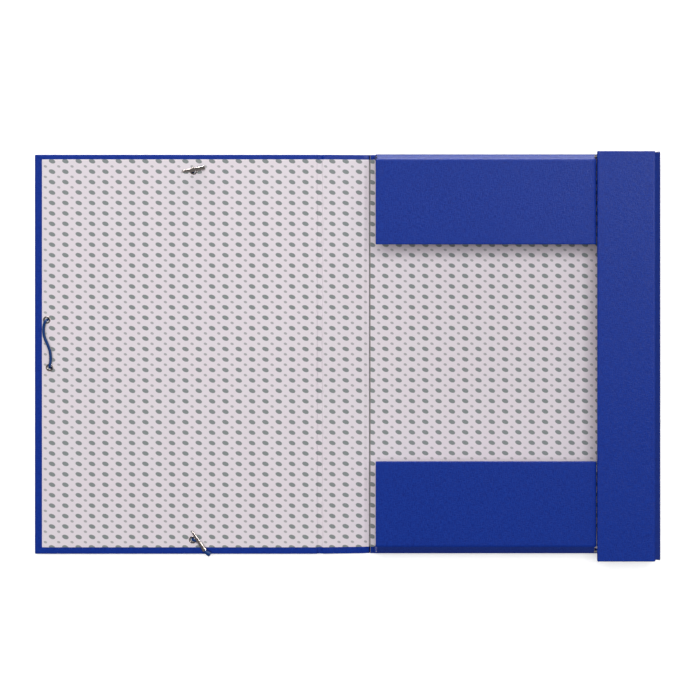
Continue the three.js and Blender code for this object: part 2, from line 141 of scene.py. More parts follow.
class Nodes:
    """A new material's node tree, with short ways to add to it."""

    def __init__(self, name):
        self.material = bpy.data.materials.new(name)
        self.material.use_nodes = True
        self.tree = self.material.node_tree
        self.shader = self.tree.nodes["Principled BSDF"]

    def add(self, kind, **inputs):
        node = self.tree.nodes.new(kind)
        for key, value in inputs.items():
            self.feed(node.inputs[key.replace("_", " ")], value)
        return node

    def feed(self, socket, value):
        if isinstance(value, bpy.types.NodeSocket):
            self.tree.links.new(value, socket)
        else:
            socket.default_value = value

    def math(self, operation, a, b=0.0, c=0.0):
        node = self.tree.nodes.new("ShaderNodeMath")
        node.operation = operation
        for socket, value in zip(node.inputs, (a, b, c)):
            self.feed(socket, value)
        return node.outputs[0]

    def mix(self, factor, a, b):
        node = self.tree.nodes.new("ShaderNodeMix")
        node.data_type = "RGBA"
        self.feed(node.inputs[0], factor)
        self.feed(node.inputs[6], a)
        self.feed(node.inputs[7], b)
        return node.outputs[2]

    def coordinates(self, kind="UV"):
        return self.tree.nodes.new("ShaderNodeTexCoord").outputs[kind]

    def stretched(self, vector, scale):
        return self.add("ShaderNodeMapping", Vector=vector, Scale=scale).outputs[0]

    def noise(self, vector, scale=1.0, detail=2.0, roughness=0.5):
        inputs = {"Vector": vector, "Scale": scale, "Detail": detail, "Roughness": roughness}
        return self.add("ShaderNodeTexNoise", **inputs).outputs["Fac"]

    def ramp(self, value, low, high):
        node = self.tree.nodes.new("ShaderNodeMapRange")
        node.interpolation_type = "SMOOTHSTEP"
        self.feed(node.inputs["Value"], value)
        node.inputs["From Min"].default_value = low
        node.inputs["From Max"].default_value = high
        return node.outputs[0]

    def paint_crease_shade(self, colour, shade_colour):
        """Paints shade into a colour in narrow creases and right beside other things, where an ambient
        occlusion node finds them: painted shade.
        """
        node = self.add("ShaderNodeAmbientOcclusion", Distance=0.003)
        node.samples = 8
        return self.mix(self.ramp(node.outputs["AO"], 0.35, 0.9), shade_colour, colour)

    def bump(self, height, distance, strength=1.0):
        node = self.add("ShaderNodeBump", Height=height, Distance=distance, Strength=strength)
        self.feed(self.shader.inputs["Normal"], node.outputs[0])

    def set(self, **inputs):
        for key, value in inputs.items():
            self.feed(self.shader.inputs[key.replace("_", " ")], value)


def linen_material():
    """Royal-blue covering paper with an embossed linen grain."""
    n = Nodes("linen_covering_paper")
    uv = n.coordinates()
    along = n.noise(n.stretched(uv, (260, 1700, 1)), detail=3.0)
    across = n.noise(n.stretched(uv, (1700, 260, 1)), detail=3.0)
    threads = n.math("MAXIMUM", n.ramp(along, 0.42, 0.66), n.ramp(across, 0.42, 0.66))
    slubs = n.ramp(n.noise(n.stretched(uv, (90, 900, 1)), detail=2.0), 0.6, 0.72)
    cloudy = n.noise(uv, scale=22.0, detail=3.0)
    grain = n.noise(uv, scale=2600.0, detail=2.0)
    height = n.math("ADD", n.math("MULTIPLY", threads, 0.8), n.math("MULTIPLY", slubs, 0.35))
    # The raised threads are painted lighter and the hollows between them darker: painted light and shade on
    # the emboss, on top of the bump.
    deep = n.mix(cloudy, (0.0012, 0.0172, 0.200, 1), (0.0020, 0.0225, 0.240, 1))
    raised = n.mix(grain, (0.0030, 0.0295, 0.275, 1), (0.0060, 0.0385, 0.325, 1))
    # Painted shade: the cloth goes towards a very dark blue in creases and right beside other things.
    n.set(Base_Color=n.paint_crease_shade(n.mix(threads, deep, raised), (0.001, 0.008, 0.08, 1)))
    rough = n.math("MULTIPLY_ADD", threads, -0.08, 0.42)
    n.set(Roughness=n.math("MULTIPLY_ADD", n.math("SUBTRACT", grain, 0.5), 0.1, rough))
    n.shader.inputs["Specular IOR Level"].default_value = 0.25
    n.bump(n.math("MULTIPLY_ADD", grain, 0.18, height), 0.00006)
    return n.material


def printed_material():
    """Pinkish-white paper with a plain print of staggered oval spots, large and small by turns."""
    n = Nodes("printed_lining_paper")
    uv = n.coordinates()
    split = n.add("ShaderNodeSeparateXYZ", Vector=uv)
    wobble = n.math("MULTIPLY", n.math("SUBTRACT", n.noise(uv, scale=1500.0, detail=1.0), 0.5), 0.25)
    tilt = math.radians(SPOT_TILT)

    def from_middle(axis, stagger):
        """Millimetres from the middle of the print's cell, along one side of the paper."""
        cells = n.math("DIVIDE", split.outputs[axis], SPOT_PITCH[axis] * MM)
        place = n.math("FRACT", n.math("ADD", cells, stagger))
        return n.math("MULTIPLY", n.math("SUBTRACT", place, 0.5), SPOT_PITCH[axis])

    def spot(half_length, half_width, stagger):
        du, dv = from_middle(0, stagger), from_middle(1, stagger)
        run = n.math("MULTIPLY_ADD", du, math.cos(tilt), n.math("MULTIPLY", dv, math.sin(tilt)))
        rise = n.math("MULTIPLY_ADD", dv, math.cos(tilt), n.math("MULTIPLY", du, -math.sin(tilt)))
        far_along = n.math("POWER", n.math("ABSOLUTE", n.math("DIVIDE", run, half_length)), 2.0)
        far_across = n.math("POWER", n.math("ABSOLUTE", n.math("DIVIDE", rise, half_width)), 2.0)
        inside = n.math("SUBTRACT", 1.0, n.math("SQRT", n.math("ADD", far_along, far_across)))
        return n.ramp(n.math("MULTIPLY_ADD", inside, half_width, wobble), -0.16, 0.16)

    fibres = n.noise(n.stretched(uv, (700, 1500, 1)), detail=4.0, roughness=0.7)
    blotch = n.noise(uv, scale=30.0, detail=2.0)
    paper = n.mix(blotch, (0.765, 0.668, 0.728, 1), (0.735, 0.690, 0.735, 1))
    paper = n.mix(n.math("MULTIPLY", fibres, 0.22), paper, (0.86, 0.81, 0.84, 1))
    worn = n.math("MULTIPLY_ADD", fibres, 0.3, 0.72)
    strong = n.math("MULTIPLY", spot(*LARGE_SPOT, stagger=0.0), worn)
    weak = n.math("MULTIPLY", spot(*SMALL_SPOT, stagger=0.5), 0.7)
    inked = n.mix(strong, paper, (0.155, 0.195, 0.185, 1))
    printed = n.mix(weak, inked, (0.255, 0.270, 0.265, 1))
    # Painted shade: the paper goes towards dark grey in creases, in the joint's slot and right beside other
    # things.
    n.set(Base_Color=n.paint_crease_shade(printed, (0.30, 0.29, 0.30, 1)))
    n.set(Roughness=n.math("MULTIPLY_ADD", fibres, 0.16, 0.52))
    n.shader.inputs["Specular IOR Level"].default_value = 0.35
    n.bump(n.math("ADD", fibres, n.math("MULTIPLY", strong, 0.15)), 0.00003)
    return n.material


def greyboard_material():
    """Raw pressed greyboard: mottled, with darker and lighter flecks."""
    n = Nodes("raw_greyboard")
    place = n.coordinates("Object")
    fibres = n.noise(n.stretched(place, (500, 900, 2400)), detail=4.0, roughness=0.7)
    flecks = n.ramp(n.noise(place, scale=900.0, detail=1.0), 0.62, 0.72)
    base = n.mix(fibres, (0.22, 0.20, 0.175, 1), (0.40, 0.375, 0.335, 1))
    n.set(Base_Color=n.mix(n.math("MULTIPLY", flecks, 0.5), base, (0.09, 0.08, 0.07, 1)))
    n.set(Roughness=n.math("MULTIPLY_ADD", fibres, 0.15, 0.78))
    n.bump(fibres, 0.00008)
    return n.material


def nickel_material():
    """Nickel plate, bright but handled: fine scratches, and dull spots that are darker."""
    n = Nodes("nickel_plate")
    place = n.coordinates("Object")
    scratches = n.noise(n.stretched(place, (900, 5200, 2600)), detail=3.0, roughness=0.7)
    dull = n.ramp(n.noise(place, scale=420.0, detail=2.0), 0.45, 0.75)
    n.set(Base_Color=n.mix(dull, (0.53, 0.465, 0.44, 1), (0.34, 0.29, 0.275, 1)))
    n.set(Roughness=n.math("MULTIPLY_ADD", dull, 0.16, n.math("MULTIPLY_ADD", scratches, 0.12, 0.14)))
    n.shader.inputs["Metallic"].default_value = 1.0
    n.bump(scratches, 0.000035)
    return n.material


def elastic_material():
    """Blue braided elastic: the threads' own lines run over the braid's raised crossings."""
    n = Nodes("braided_elastic")
    uv = n.coordinates()
    fibres = n.noise(n.stretched(uv, (900, 6000, 1)), detail=3.0, roughness=0.65)
    fuzz = n.noise(uv, scale=3200.0, detail=2.0)
    cloudy = n.noise(uv, scale=120.0, detail=2.0)
    deep = n.mix(cloudy, (0.001, 0.009, 0.060, 1), (0.002, 0.020, 0.120, 1))
    n.set(Base_Color=n.mix(fibres, deep, (0.003, 0.055, 0.230, 1)))
    n.set(Roughness=n.math("MULTIPLY_ADD", fuzz, 0.25, 0.42))
    n.shader.inputs["Specular IOR Level"].default_value = 0.25
    n.bump(n.math("ADD", fibres, fuzz), 0.00006)
    return n.material


def table_material():
    """A plain pale table top."""
    n = Nodes("pale_table")
    mottle = n.noise(n.coordinates("Object"), scale=3.0, detail=3.0)
    n.set(Base_Color=n.mix(mottle, (0.93, 0.93, 0.93, 1), (0.96, 0.96, 0.96, 1)), Roughness=0.85)
    n.shader.inputs["Specular IOR Level"].default_value = 0.1
    n.shader.inputs["Emission Color"].default_value = (1, 1, 1, 1)
    n.shader.inputs["Emission Strength"].default_value = 0.45
    return n.material


# ---------------------------------------------------------------- mesh helpers

def new_object(name, mesh, material):
    mesh.materials.append(material)
    piece = bpy.data.objects.new(name, mesh)
    bpy.context.scene.collection.objects.link(piece)
    return piece


def apply_modifiers(piece):
    """Replaces a piece's mesh by what its modifiers make of it."""
    depsgraph = bpy.context.evaluated_depsgraph_get()
    made = bpy.data.meshes.new_from_object(piece.evaluated_get(depsgraph))
    piece.modifiers.clear()
    piece.data = made


def shade(piece, angle=50.0):
    mesh = piece.data
    mesh.shade_smooth()
    mesh.set_sharp_from_angle(angle=math.radians(angle))


def fixed(value):
    """The same value at every station."""
    return lambda s: value


def smoothstep(low, high, value):
    t = min(1.0, max(0.0, (value - low) / (high - low)))
    return t * t * (3 - 2 * t)


# ---------------------------------------------------------------- folded sheets

class Fold:
    """The path of a sheet across one fold. s is the distance along the outer face from the fold,
    v lies along the fold, and w goes through the sheet from its outer face inwards."""

    def __init__(self, corner, before, after, axis, radius):
        self.corner, self.before, self.after = corner, before, after
        self.axis, self.radius = axis, radius
        self.inward_before = before.cross(axis)
        self.inward_after = after.cross(axis)

    def at(self, s, v, w):
        t = min(1.0, max(0.0, (s + self.radius) / (2 * self.radius)))
        if 0 < t < 1:
            base = self.corner - self.before * (self.radius * (1 - t) ** 2)
            base += self.after * (self.radius * t * t)
        else:
            base = self.corner + (self.before if s < 0 else self.after) * s
        inward = self.inward_before.lerp(self.inward_after, t).normalized()
        return (base + self.axis * v + inward * w) * MM


def steps_along(start, end, fine_from, fine_to, coarse=9.0, fine=0.35):
    """Stations from start to end: fine ones across the fold, and one just before the far edge."""
    stations = []
    for low, high, step in ((start, fine_from, coarse), (fine_from, fine_to, fine), (fine_to, end, coarse)):
        if high - low < 1e-6:
            continue
        count = max(1, round((high - low) / step))
        stations += [low + (high - low) * k / count for k in range(count)]
    near_end = end - 1.2
    return [s for s in stations if s < near_end - 0.2] + [near_end, end]


def rows_across(width, coarse=9.0):
    """Places across a sheet, from 0 to 1, closer together at its two edges."""
    near = [0.0, 0.7 / width, 1.5 / width, 3.5 / width]
    count = max(2, round(width / coarse))
    middle = [k / count for k in range(1, count)]
    middle = [t for t in middle if 5 / width < t < 1 - 5 / width]
    return near + middle + [1 - t for t in reversed(near)]


def border_runs(free, last_station, last_row):
    """The free border as runs of (station, row, outward s, outward v)."""
    sides = {
        "low": [(i, 0, 0, -1) for i in range(last_station + 1)],
        "end": [(last_station, j, 1, 0) for j in range(last_row + 1)],
        "high": [(i, last_row, 0, 1) for i in range(last_station, -1, -1)],
    }
    runs = [[]]
    for side in ("low", "end", "high"):
        if side not in free:
            runs.append([])
        elif runs[-1]:
            i, j, out_s, out_v = runs[-1].pop()
            runs[-1].append((i, j, out_s + sides[side][0][2], out_v + sides[side][0][3]))
            runs[-1] += sides[side][1:]
        else:
            runs[-1] += sides[side]
    return [run for run in runs if run]


def folded_sheet(name, fold, stations, low, high, top, profile, free, facing, thickness, material, to_uv):
    """A sheet of paper along a fold's path. low and high give its outline at a station and top its
    level. At its free sides it goes on through the profile: pairs of inset and level."""
    mesh = bpy.data.meshes.new(name)
    bm = bmesh.new()
    layer = bm.loops.layers.uv.new("sheet")
    flat = {}
    border = profile[0][0]
    rows = rows_across(high(stations[-1]) - low(stations[-1]))
    last, last_row = len(stations) - 1, len(rows) - 1
    end = stations[-1] - (border if "end" in free else 0)
    places = []
    for s in stations:
        s = min(s, end)
        start_v = low(s) + (border if "low" in free else 0)
        stop_v = high(s) - (border if "high" in free else 0)
        places.append([(s, start_v + (stop_v - start_v) * t) for t in rows])

    def vertex(s, v, level, sheet_s, sheet_v):
        made = bm.verts.new(fold.at(s, v, level))
        flat[made] = to_uv(sheet_s, sheet_v)
        return made

    def face(*corners):
        made = bm.faces.new(corners if facing > 0 else corners[::-1])
        for loop in made.loops:
            loop[layer].uv = flat[loop.vert]

    grid = [[vertex(s, v, top(s), s, v) for s, v in row] for row in places]
    for i in range(last):
        for j in range(last_row):
            face(grid[i][j], grid[i + 1][j], grid[i + 1][j + 1], grid[i][j + 1])

    for run in border_runs(free, last, last_row):
        previous = [grid[i][j] for i, j, _, _ in run]
        travelled = 0.0
        for (inset_a, level_a), (inset_b, level_b) in zip(profile, profile[1:]):
            middle = stations[last // 2]
            travelled += math.hypot(inset_b - inset_a, level_b(middle) - level_a(middle))
            ring = []
            for i, j, out_s, out_v in run:
                s, v = places[i][j]
                corner = 0.75 if out_s and out_v else 1.0
                outward = (border - inset_b) * corner
                if outward >= 0:
                    ring_s, ring_v = s + out_s * outward, v + out_v * outward
                else:
                    near_end = min(1.0, max(0.0, 1 - (end - s) / MITRE_REACH)) if "end" in free else 0.0
                    from_low = min(1.0, max(0.0, 1 - (v - places[i][0][1]) / MITRE_REACH))
                    from_high = min(1.0, max(0.0, 1 - (places[i][-1][1] - v) / MITRE_REACH))
                    shift_low = from_low if "low" in free else 0.0
                    shift_high = from_high if "high" in free else 0.0
                    depth = inset_b - border
                    ring_s = s - depth * near_end
                    ring_v = v + depth * (shift_low - shift_high)
                level = level_b(ring_s)
                if out_s and out_v and inset_b > border:
                    level -= 0.18
                ring.append(vertex(ring_s, ring_v, level, s + out_s * travelled, v + out_v * travelled))
            for k in range(len(run) - 1):
                face(previous[k], ring[k], ring[k + 1], previous[k + 1])
            previous = ring
    bm.to_mesh(mesh)
    bm.free()
    piece = new_object(name, mesh, material)
    solidify = piece.modifiers.new("thickness", "SOLIDIFY")
    solidify.thickness = thickness * MM
    solidify.offset = -1.0
    apply_modifiers(piece)
    shade(piece)
    return piece


def cloth_profile(height, margin):
    """Round the edge of the board, and in over it as far as it goes under the lining."""
    r = EDGE_RADIUS
    arc = [(r - r * math.sin(a), 1 - math.cos(a)) for a in (math.pi / 6, math.pi / 3, math.pi / 2)]

    def radius(s):
        return min(r, height(s) / 2)

    profile = [(r, lambda s: 0.0)]
    for inset, rise in arc:
        profile.append((inset, lambda s, rise=rise: rise * radius(s)))
    for inset, rise in reversed(arc):
        profile.append((inset, lambda s, rise=rise: height(s) - rise * radius(s)))
    profile.append((r, height))
    profile.append((margin * 0.5, height))
    profile.append((margin - 0.4, height))
    profile.append((margin + UNDER_LINING, lambda s: height(s) - 0.12))
    return profile


def lining_profile(level):
    return [
        (0.35, level),
        (0.12, lambda s: level(s) - 0.03),
        (0.02, lambda s: level(s) - 0.12),
        (0.0, lambda s: level(s) - 0.3),
    ]


def add_cloth(name, fold, stations, low, high, height, margin, free, to_uv):
    return folded_sheet(
        name, fold, stations, low, high, lambda s: 0.0, cloth_profile(height, margin), free,
        facing=-1, thickness=CLOTH, material=LINEN, to_uv=to_uv,
    )


def add_lining(name, fold, stations, low, high, level, free, to_uv):
    return folded_sheet(
        name, fold, stations, low, high, level, lining_profile(level), free,
        facing=1, thickness=LINING, material=PRINTED, to_uv=to_uv,
    )


# ---------------------------------------------------------------- places from the frame

def joint_place(name):
    joint = next(j for j in frame["joints"] if j["name"] == name)
    return Vector(joint["pos_m"]) / MM


def node_span(node, direction):
    """The least and greatest distance of a CAD node's points along a direction."""
    along = [vertex.co.dot(direction) / MM for vertex in frame["nodes"][node].data.vertices]
    return min(along), max(along)


def finish_piece(piece, nodes, body=None, fold=None, reach=None):
    """A piece rides on one body, or stays where it was built across a fold, with its transform baked in."""
    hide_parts(*nodes)
    if body:
        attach(piece, body)
    else:
        fold.at(-reach, 0, 0)
        fold.at(reach, 0, 0)
        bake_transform(piece)


# ---------------------------------------------------------------- case

def spine_middle():
    """Half of the distance between the case's two folds, and the spine's direction."""
    chord = joint_place("cover_fold") - joint_place("spine_fold")
    return chord.length / 2, chord.normalized()


def punch(piece, nodes):
    """Cuts the eyelets' holes through a sheet."""
    for node in nodes:
        low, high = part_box(node)
        centre = (low + high) / 2
        bpy.ops.mesh.primitive_cylinder_add(
            vertices=32, radius=HOLE_RADIUS * MM, depth=20 * MM, location=centre,
        )
        drill = bpy.context.object
        cut = piece.modifiers.new("hole", "BOOLEAN")
        cut.operation = "DIFFERENCE"
        cut.object = drill
        apply_modifiers(piece)
        bpy.data.objects.remove(drill)
    shade(piece)


def add_case():
    half_span, spine_direction = spine_middle()
    hinge_a = Vector((*joint_place("spine_fold").xy, 0))
    cover_low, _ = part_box("cover_cloth")
    hinge_b = Vector((*joint_place("cover_fold").xy, cover_low.z / MM))
    bottom, top = node_span("back_cloth", NORTH)
    back_end = node_span("back_cloth", EAST)[1] - hinge_a.x
    cover_end = hinge_b.x - node_span("cover_cloth", EAST)[0]

    back_fold = Fold(hinge_a, -spine_direction, EAST, NORTH, HALF_JOINT)
    cover_fold = Fold(hinge_b, spine_direction, -EAST, -NORTH, HALF_JOINT)

    def deep(s):
        """A shallow hollow, and a narrow slot beside the back board."""
        hollow = SPINE_SIDE_SINK * smoothstep(-3.0, 1.0, s) + JOINT_SINK * smoothstep(1.9, 2.5, s)
        return WRAPPED - hollow * (1 - smoothstep(3.0, 3.35, s))

    def shallow(s):
        return WRAPPED - JOINT_SINK * (1 - smoothstep(1.2, 3.0, abs(s)))

    def back_lines(end):
        return steps_along(-half_span, end, -4.2, 4.2, fine=0.2)

    def cover_lines(end):
        return steps_along(-half_span, end, -4.8, 4.8)

    sides = {"low", "end", "high"}

    def back_uv(s, v):
        return (hinge_a.x + s) * MM, v * MM

    def cover_uv(s, v):
        return (hinge_b.x - s) * MM, -v * MM

    back_cloth = add_cloth(
        "back_and_spine_covering", back_fold, back_lines(back_end), fixed(bottom), fixed(top), deep,
        TAIL_MARGIN, sides, back_uv,
    )
    finish_piece(
        back_cloth, ["back_cloth"], fold=back_fold,
        reach=HALF_JOINT,
    )
    cover_cloth = add_cloth(
        "cover_and_spine_covering", cover_fold, cover_lines(cover_end), fixed(-top), fixed(-bottom),
        shallow, TAIL_MARGIN, sides, cover_uv,
    )
    punch(cover_cloth, EYELETS)
    finish_piece(
        cover_cloth, ["cover_cloth", "spine_cloth"], fold=cover_fold,
        reach=HALF_JOINT,
    )

    def lining_level(height):
        return lambda s: height(s) + LINING_RISE

    back_lining = add_lining(
        "back_and_spine_lining_paper", back_fold, back_lines(back_end - BACK_MARGIN),
        fixed(bottom + TAIL_MARGIN), fixed(top - HEAD_MARGIN), lining_level(deep), sides, back_uv,
    )
    finish_piece(
        back_lining, ["back_lining"], fold=back_fold,
        reach=HALF_JOINT,
    )
    cover_lining = add_lining(
        "cover_and_spine_lining_paper", cover_fold, cover_lines(cover_end - FORE_MARGIN),
        fixed(-top + HEAD_MARGIN), fixed(-bottom - TAIL_MARGIN), lining_level(shallow), sides, cover_uv,
    )
    punch(cover_lining, EYELETS)
    finish_piece(
        cover_lining, ["cover_lining", "spine_lining"], fold=cover_fold,
        reach=HALF_JOINT,
    )


# ---------------------------------------------------------------- flaps

def add_flap(name, inwards, floor_limits):
    """Wall, folded edge and leaf, as three lengths of one covering and three of one lining."""
    base, edge_start, edge_end = (
        joint_place(f"{name}_{part}_fold") for part in ("flap", "edge", "leaf")
    )
    axis = inwards.cross(UP)
    height = edge_start.z - base.z
    slope = edge_end - edge_start
    width = slope.length
    wall_low, wall_high = node_span(f"{name}_wall_cloth", axis)
    leaf_low, leaf_high = node_span(f"{name}_leaf_cloth", axis)
    depth = node_span(f"{name}_leaf_cloth", inwards)[1] - edge_end.dot(inwards)
    base_fold = Fold(base, -inwards, UP, axis, BASE_RADIUS)
    edge_fold = Fold(edge_start, UP, slope.normalized(), axis, RIDGE_RADIUS)
    leaf_fold = Fold(edge_end, slope.normalized(), inwards, axis, RIDGE_RADIUS)
    floor_corner = base + inwards * (WRAPPED + LINING_RISE) + UP * 0.25
    floor_fold = Fold(floor_corner, -inwards, UP, axis, FLOOR_RADIUS)

    def board_after(s):
        return UNBOARDED + (WRAPPED - UNBOARDED) * smoothstep(-0.6, 0.45, s)

    def board_before(s):
        return board_after(-s)

    def raised(level):
        return lambda s: level(s) + LINING_RISE

    def outline(edge, sign, on_strip):
        return lambda s: edge + sign * EDGE_SETBACK * smoothstep(0.0, 1.6, s * on_strip)

    def along(offset):
        return lambda s, v: ((s + offset) * MM, v * MM)

    both = {"low", "high"}
    base_cloth = add_cloth(
        f"{name}_flap_hinge_covering", base_fold, steps_along(-2.5, height / 2, -2.4, 2.6),
        fixed(wall_low), fixed(wall_high), board_after, FLAP_MARGIN, both, along(0),
    )
    finish_piece(
        base_cloth, [f"{name}_wall_cloth"], fold=base_fold,
        reach=FLAP_REACH,
    )

    part_low = leaf_low > wall_low + 1
    part_high = leaf_high < wall_high - 1
    leaf_low -= UNDER_FORE_LEAF if part_low else 0
    leaf_high += UNDER_FORE_LEAF if part_high else 0
    edge_free = both - ({"low"} if part_low else set()) - ({"high"} if part_high else set())
    edge_cloth = add_cloth(
        f"{name}_flap_edge_covering", edge_fold, steps_along(-height / 2, width / 2, -3.0, 2.0),
        outline(leaf_low, 1, 1), outline(leaf_high, -1, 1), board_before, FLAP_MARGIN, edge_free,
        along(height),
    )
    finish_piece(
        edge_cloth, [f"{name}_edge_cloth"], fold=edge_fold,
        reach=FLAP_REACH,
    )
    leaf_cloth = add_cloth(
        f"{name}_flap_leaf_covering", leaf_fold, steps_along(-width / 2, depth, -2.0, 3.0),
        outline(leaf_low, 1, -1), outline(leaf_high, -1, -1), board_after, FLAP_MARGIN,
        {"low", "end", "high"}, along(height + width),
    )
    finish_piece(
        leaf_cloth, [f"{name}_leaf_cloth"], fold=leaf_fold,
        reach=FLAP_REACH,
    )

    shoulders = ((part_low, wall_low, leaf_low, "low"), (part_high, leaf_high, wall_high, "high"))
    for part, start, stop, side in shoulders:
        if part:
            shoulder = add_cloth(
                f"{name}_wall_shoulder_covering", edge_fold, steps_along(-height / 2, -0.15, -3.0, -0.15),
                fixed(start), fixed(stop), fixed(WRAPPED), FLAP_MARGIN, {side, "end"}, along(height),
            )
            finish_piece(shoulder, [], body=f"{name}_wall")
            shoulder_lining = add_lining(
                f"{name}_wall_shoulder_lining_paper", edge_fold,
                steps_along(-height / 2, -FLAP_MARGIN, -9.0, -FLAP_MARGIN),
                fixed(start + (FLAP_MARGIN if side == "low" else 0)),
                fixed(stop - (FLAP_MARGIN if side == "high" else 0)),
                fixed(WRAPPED + LINING_RISE), {side, "end"}, along(height),
            )
            finish_piece(shoulder_lining, [], body=f"{name}_wall")

    def tongue_low(s):
        inside = wall_low + FLAP_MARGIN
        return inside + (max(floor_limits[0], wall_low) - inside) * (1 - smoothstep(-1.0, 1.0, s))

    def tongue_high(s):
        inside = wall_high - FLAP_MARGIN
        return inside + (min(floor_limits[1], wall_high) - inside) * (1 - smoothstep(-1.0, 1.0, s))

    tongue = add_lining(
        f"{name}_flap_tongue_paper", floor_fold, steps_along(-TONGUE_WIDTH, height / 2 - 0.25, -2.4, 2.8),
        tongue_low, tongue_high, fixed(0.0), both, along(0),
    )
    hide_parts(f"{name}_flap_tongue", f"{name}_wall_lining")
    floor_fold.at(-2.2, 0, 0)
    floor_fold.at(2.6, 0, 0)
    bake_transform(tongue)

    edge_lining = add_lining(
        f"{name}_flap_edge_lining_paper", edge_fold, steps_along(-height / 2, width / 2, -3.0, 2.0),
        fixed(leaf_low + (END_INSET if part_low else FLAP_MARGIN)),
        fixed(leaf_high - (END_INSET if part_high else FLAP_MARGIN)),
        raised(board_before), edge_free, along(height),
    )
    finish_piece(
        edge_lining, [f"{name}_edge_lining"], fold=edge_fold,
        reach=FLAP_REACH,
    )
    leaf_lining = add_lining(
        f"{name}_flap_leaf_lining_paper", leaf_fold, steps_along(-width / 2, depth - FLAP_MARGIN, -2.0, 3.0),
        fixed(leaf_low + FLAP_MARGIN), fixed(leaf_high - FLAP_MARGIN), raised(board_after),
        {"low", "end", "high"}, along(height + width),
    )
    finish_piece(
        leaf_lining, [f"{name}_leaf_lining"], fold=leaf_fold,
        reach=FLAP_REACH,
    )


# ---------------------------------------------------------------- eyelets, elastic and tags

EYELETS = ["upper_end_eyelet", "upper_fore_eyelet", "lower_fore_eyelet", "lower_end_eyelet"]


def close_ring(bm, rings, closed):
    """Faces between successive rings of vertices, each ring closed on itself."""
    pairs = list(zip(rings, rings[1:])) + ([(rings[-1], rings[0])] if closed else [])
    for a, b in pairs:
        for k in range(len(a)):
            bm.faces.new((a[k], a[(k + 1) % len(a)], b[(k + 1) % len(b)], b[k]))


def add_eyelet(node):
    """A barrel with a rolled rim on the inside of the cover and a flatter one outside."""
    low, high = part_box(node)
    centre = (low + high) / 2 / MM
    bottom, top = low.z / MM, high.z / MM
    hole, barrel, rim = 2.05, 2.28, 3.35
    profile = [(hole, bottom + 0.5), (hole, top - 0.55)]
    for k in range(9):
        angle = math.pi - math.pi * k / 8
        bulge = math.sin(angle)
        radius = (hole + rim) / 2 + (rim - hole) / 2 * math.cos(angle)
        profile.append((radius, top - ROLL_HEIGHT + ROLL_HEIGHT * bulge ** 0.7))
    profile += [(rim - 0.12, top - 0.5), (barrel + 0.1, top - 0.44), (barrel, top - 0.6)]
    profile += [(barrel, bottom + 0.5), (barrel + 0.1, bottom + 0.36), (rim, bottom + 0.3)]
    profile += [(rim, bottom + 0.1), (rim - 0.2, bottom), (hole + 0.3, bottom), (hole + 0.06, bottom + 0.15)]
    bm = bmesh.new()
    sides = 56
    rings = []
    for radius, z in profile:
        ring = []
        for k in range(sides):
            angle = 2 * math.pi * k / sides
            dent = 1 + 0.006 * math.sin(3 * angle + len(node)) * (radius - hole)
            offset = Vector((math.cos(angle), math.sin(angle), 0)) * radius * dent
            ring.append(bm.verts.new((Vector((centre.x, centre.y, z)) + offset) * MM))
        rings.append(ring)
    close_ring(bm, rings, closed=True)
    bmesh.ops.recalc_face_normals(bm, faces=bm.faces)
    mesh = bpy.data.meshes.new(node)
    bm.to_mesh(mesh)
    bm.free()
    piece = new_object(f"{node}_rolled", mesh, NICKEL)
    shade(piece, 40.0)
    finish_piece(piece, [node], body="cover")


def smooth_route(points, spacing):
    """Points about a given distance apart on a smooth curve through a route's points."""
    route = [Vector(p) for p in points]
    route = [2 * route[0] - route[1]] + route + [2 * route[-1] - route[-2]]
    made = []
    for a, b, c, d in zip(route, route[1:], route[2:], route[3:]):
        count = max(2, math.ceil((c - b).length / spacing))
        for k in range(count):
            t = k / count
            made.append(0.5 * (2 * b + (c - a) * t + (2 * a - 5 * b + 4 * c - d) * t * t
                               + (3 * b - a - 3 * c + d) * t ** 3))
    return made + [route[-2]]


def add_elastic(name, points, frayed=False):
    """A round braid: two sets of threads wind round it in opposite directions."""
    sides, threads, lay = 24, 6, 4.2
    centres = smooth_route(points, 0.3)
    bm = bmesh.new()
    layer = bm.loops.layers.uv.new("sheet")
    across = Vector((0.3, 0.9, 0.1))
    travelled, rings, flat = 0.0, [], {}
    for index, centre in enumerate(centres):
        ahead = centres[min(index + 1, len(centres) - 1)] - centres[max(index - 1, 0)]
        tangent = ahead.normalized()
        across = (across - tangent * across.dot(tangent)).normalized()
        other = tangent.cross(across)
        if index:
            travelled += (centre - centres[index - 1]).length
        spread = 1 + (0.7 * smoothstep(0.65, 0.95, index / (len(centres) - 1)) if frayed else 0)
        ring = []
        for k in range(sides):
            angle = 2 * math.pi * k / sides
            turn = 2 * math.pi * travelled / lay
            left = math.cos(threads / 2 * (angle + turn))
            right = math.cos(threads / 2 * (angle - turn))
            height = max(left * left, right * right)
            radius = CORD_DIAMETER / 2 * (0.95 + 0.12 * height) * spread
            outwards = across * math.cos(angle) + other * math.sin(angle)
            vertex = bm.verts.new((centre + outwards * radius) * MM)
            flat[vertex] = (travelled * MM, CORD_DIAMETER / 2 * MM * angle)
            ring.append(vertex)
        rings.append(ring)
    close_ring(bm, rings, closed=False)
    for ring, centre, step in ((rings[0], centres[0], 1), (rings[-1], centres[-1], -1)):
        middle = bm.verts.new(centre * MM)
        flat[middle] = flat[ring[0]]
        for k in range(sides):
            bm.faces.new((ring[k], middle, ring[(k + 1) % sides])[::step])
    for face in bm.faces:
        for loop in face.loops:
            loop[layer].uv = flat[loop.vert]
    bmesh.ops.recalc_face_normals(bm, faces=bm.faces)
    mesh = bpy.data.meshes.new(name)
    bm.to_mesh(mesh)
    bm.free()
    piece = new_object(name, mesh, ELASTIC)
    shade(piece, 60.0)
    return piece, [centre * MM for centre in centres]


